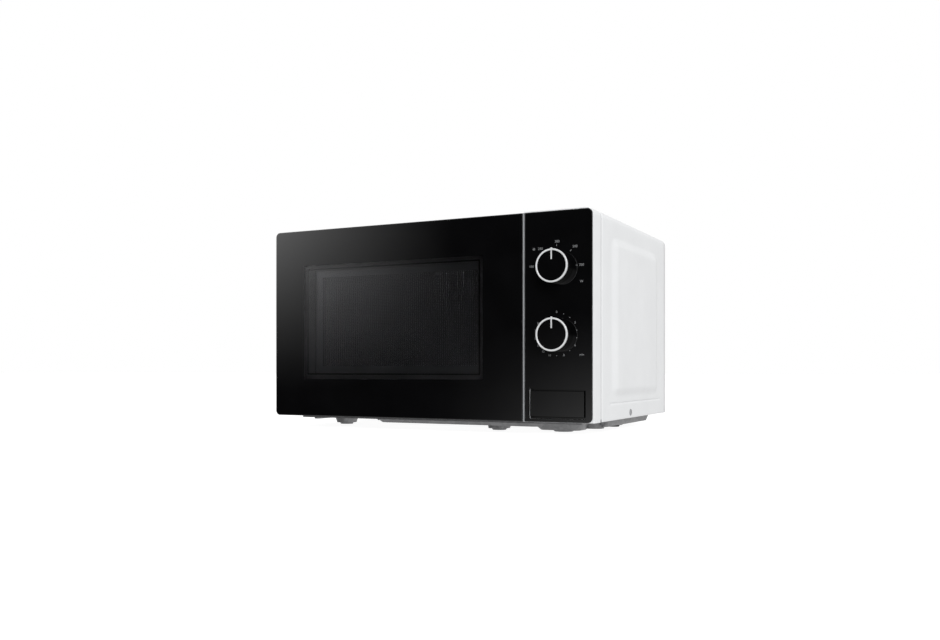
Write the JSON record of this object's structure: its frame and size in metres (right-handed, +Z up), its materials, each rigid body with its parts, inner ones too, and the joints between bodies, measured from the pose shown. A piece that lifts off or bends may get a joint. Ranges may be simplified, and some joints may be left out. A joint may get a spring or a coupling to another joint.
{
  "type": "microwave oven",
  "caption": "Countertop microwave oven: black glass side-hinged door and dial panel on a white steel cabinet, with a glass turntable inside.",
  "frame": {"origin": "on the surface the feet stand on, below the centre of the overall box", "axes": "+X to the right seen from the front, -Y out of the front, +Z up"},
  "size_m": [0.446, 0.3376, 0.258],
  "materials": {
    "white_paint": "satin white enamel",
    "white_plastic": "satin white",
    "galvanised_steel": "zinc coated",
    "screw_steel": "zinc plated",
    "cavity_paint": "grey enamel",
    "printed_glass": "black printed glass with a clear window",
    "black_gloss": "high gloss",
    "black_plastic": "fine grain",
    "black_paint": "satin black",
    "silver_trim": "satin silver",
    "clear_film": "clear",
    "tray_glass": "clear tempered",
    "bulb_glass": "clear",
    "foot_plastic": "fine grain grey",
    "foot_rubber": "matt",
    "copper": "varnished copper wire",
    "core_iron": "varnished steel",
    "aluminium": "mill finish",
    "anode_copper": "bare copper",
    "mica": "pressed mica",
    "circuit_board": "phenolic board",
    "white_nylon": "natural nylon",
    "dark_plastic": "moulded"
  },
  "bodies": {
    "oven": {"outer_cabinet": "white_paint", "control_box": "white_plastic", "base_pan": "galvanised_steel", "rear_panel": "galvanised_steel", "door_hinges": "galvanised_steel", "magnetron_frame": "galvanised_steel", "filter_box": "galvanised_steel", "capacitor_clamp": "galvanised_steel", "fan_motor": "galvanised_steel", "turntable_motor": "galvanised_steel", "thermal_cutout": "galvanised_steel", "waveguide": "galvanised_steel", "rear_screws": "screw_steel", "side_screws": "screw_steel", "cavity_liner": "cavity_paint", "front_plate": "cavity_paint", "control_panel": "black_gloss", "rear_spacers": "black_plastic", "cord_bush": "black_plastic", "panel_trim": "silver_trim", "lamp_bulb": "bulb_glass", "front_feet": "foot_plastic", "rear_feet": "foot_rubber", "transformer_windings": "copper", "transformer_core": "core_iron", "capacitor": "aluminium", "magnetron_fins": "aluminium", "magnetron_tube": "anode_copper", "waveguide_cover": "mica", "noise_filter_board": "circuit_board", "interlock_bracket": "white_nylon", "interlock_switches": "dark_plastic", "timer_unit": "dark_plastic", "power_selector": "dark_plastic", "fan_shroud": "dark_plastic", "lamp_socket": "dark_plastic", "hv_diode": "dark_plastic"},
    "door": {"door_glass": "printed_glass", "door_frame": "black_plastic", "door_inner_panel": "black_paint", "perforated_screen": "black_paint", "inner_window": "clear_film", "choke_cover": "black_plastic", "latch_spring": "core_iron"},
    "door_latch": {"door_latch": "white_nylon"},
    "open_button": {"open_button": "black_gloss"},
    "release_lever": {"release_lever": "white_nylon"},
    "power_knob": {"power_knob": "black_gloss", "power_knob_ring": "silver_trim", "power_knob_pointer": "silver_trim"},
    "timer_knob": {"timer_knob": "black_gloss", "timer_knob_ring": "silver_trim", "timer_knob_pointer": "silver_trim"},
    "turntable": {"turntable_coupler": "white_nylon"},
    "glass_tray": {"glass_tray": "tray_glass"},
    "roller_ring": {"roller_ring": "white_nylon"},
    "roller_1": {"roller_1": "white_nylon"},
    "roller_2": {"roller_2": "white_nylon"},
    "roller_3": {"roller_3": "white_nylon"},
    "fan": {"fan_blade": "dark_plastic"}
  },
  "joints": [
    {"name": "door_swing", "type": "hinge", "parent": "oven", "child": "door", "pos_m": [-0.2105, -0.13625, 0.135], "axis": [0, 0, -1], "range_deg": [0, 105]},
    {"name": "latch_lift", "type": "slide", "parent": "door", "child": "door_latch", "axis": [0, 0, 1], "range_m": [0, 0.0035], "stiffness_N_per_m": 150, "springref_m": -0.01, "deforming": ["latch_spring"]},
    {"name": "button_press", "type": "slide", "parent": "oven", "child": "open_button", "axis": [0, 1, 0], "range_m": [0, 0.004], "stiffness_N_per_m": 250, "springref_m": -0.008},
    {"name": "release_lever_lift", "type": "slide", "parent": "oven", "child": "release_lever", "axis": [0, 0, 1], "range_m": [0, 0.003]},
    {"name": "power_knob_turn", "type": "hinge", "parent": "oven", "child": "power_knob", "pos_m": [0.1767, -0.15925, 0.1919], "axis": [0, 1, 0], "range_deg": [-90, 90]},
    {"name": "timer_knob_turn", "type": "hinge", "parent": "oven", "child": "timer_knob", "pos_m": [0.1767, -0.15925, 0.1146], "axis": [0, 1, 0], "range_deg": [0, 300]},
    {"name": "turntable_spin", "type": "hinge", "parent": "oven", "child": "turntable", "pos_m": [-0.044, 0.01955, 0.035], "axis": [0, 0, 1], "continuous": true},
    {"name": "tray_lift", "type": "slide", "parent": "turntable", "child": "glass_tray", "axis": [0, 0, 1], "range_m": [0, 0.03]},
    {"name": "roller_ring_spin", "type": "hinge", "parent": "oven", "child": "roller_ring", "pos_m": [-0.044, 0.01955, 0.04025], "axis": [0, 0, 1], "continuous": true},
    {"name": "roller_1_spin", "type": "hinge", "parent": "roller_ring", "child": "roller_1", "pos_m": [-0.044, 0.11455, 0.04025], "axis": [0, 1, 0], "continuous": true},
    {"name": "roller_2_spin", "type": "hinge", "parent": "roller_ring", "child": "roller_2", "pos_m": [-0.12627, -0.02795, 0.04025], "axis": [-0.866, -0.5, 0], "continuous": true},
    {"name": "roller_3_spin", "type": "hinge", "parent": "roller_ring", "child": "roller_3", "pos_m": [0.03827, -0.02795, 0.04025], "axis": [0.866, -0.5, 0], "continuous": true},
    {"name": "fan_spin", "type": "hinge", "parent": "oven", "child": "fan", "pos_m": [0.166, 0.14775, 0.166], "axis": [0, 1, 0], "continuous": true}
  ],
  "couplings": [
    {"joint": "release_lever_lift", "follows": "button_press", "ratio": 0.75},
    {"joint": "roller_ring_spin", "follows": "turntable_spin", "ratio": 0.5},
    {"joint": "roller_1_spin", "follows": "turntable_spin", "ratio": -6.7857},
    {"joint": "roller_2_spin", "follows": "turntable_spin", "ratio": -6.7857},
    {"joint": "roller_3_spin", "follows": "turntable_spin", "ratio": -6.7857}
  ]
}
